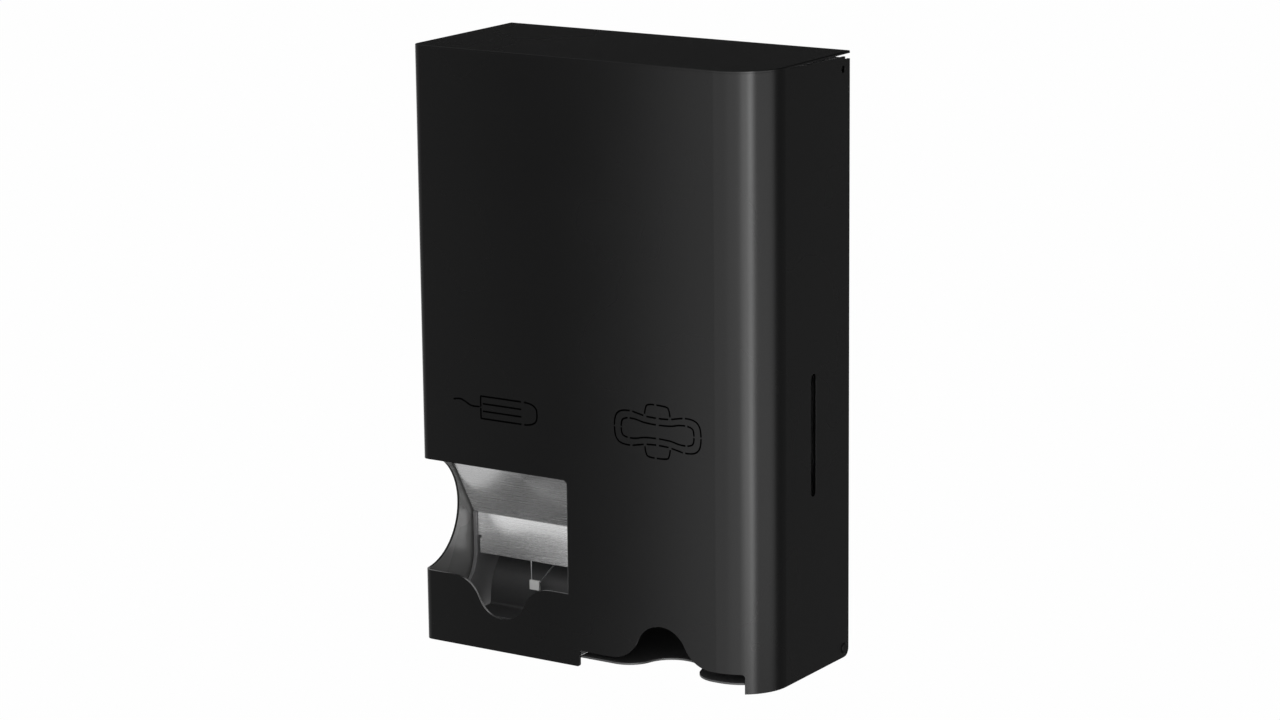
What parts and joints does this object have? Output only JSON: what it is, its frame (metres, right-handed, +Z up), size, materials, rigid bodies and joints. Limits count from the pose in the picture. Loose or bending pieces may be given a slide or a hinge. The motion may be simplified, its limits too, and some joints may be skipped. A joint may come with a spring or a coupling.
{
  "type": "tampon and pad dispenser",
  "caption": "Wall dispenser for tampons and pads with a hinged sheet-metal cover, an open tampon trough at the lower left and a low pad outlet at the lower right.",
  "frame": {"origin": "centre of the four wall holes, on the wall face at mid height", "axes": "+X to the user's right, +Y into the wall, +Z up; the front faces -Y"},
  "size_m": [0.2416, 0.104, 0.368],
  "materials": {
    "cover_coat": "satin black powder coat",
    "chassis_coat": "matt black powder coat",
    "channel_coat": "matt black powder coat",
    "ramp_coat": "semi-matt black powder coat",
    "brushed_stainless": "brushed along X",
    "zinc_steel": "bright zinc plate",
    "blackened_steel": "black oxide",
    "spring_steel": "drawn wire",
    "nylon": "black nylon",
    "housing_plastic": "moulded black",
    "retainer_plastic": "moulded pale grey"
  },
  "bodies": {
    "chassis": {"back_plate": "chassis_coat", "tampon_channel": "channel_coat", "tampon_baffle": "brushed_stainless", "tampon_ramp": "ramp_coat", "retainer_wire": "spring_steel", "retainer_pad": "retainer_plastic", "pad_channel": "channel_coat", "pad_tray": "ramp_coat", "channel_rivets": "zinc_steel", "hinge_pin_left": "blackened_steel", "hinge_pin_right": "blackened_steel", "hinge_washers": "nylon", "latch_housing_left": "housing_plastic", "latch_housing_right": "housing_plastic", "latch_spring_left": "spring_steel", "latch_spring_right": "spring_steel"},
    "cover": {"front_cover": "cover_coat", "top_plate": "cover_coat", "hinge_bush_left": "nylon", "hinge_bush_right": "nylon"},
    "plunger_left": {"latch_plunger_left": "blackened_steel"},
    "plunger_right": {"latch_plunger_right": "blackened_steel"}
  },
  "joints": [
    {"name": "cover_hinge", "type": "hinge", "parent": "chassis", "child": "cover", "pos_m": [0, -0.0055, -0.1785], "axis": [1, 0, 0], "range_deg": [0, 80]},
    {"name": "latch_left", "type": "slide", "parent": "chassis", "child": "plunger_left", "axis": [-1, 0, 0], "range_m": [0, 0.0016], "deforming": ["latch_spring_left"]},
    {"name": "latch_right", "type": "slide", "parent": "chassis", "child": "plunger_right", "axis": [1, 0, 0], "range_m": [0, 0.0016], "deforming": ["latch_spring_right"]}
  ]
}
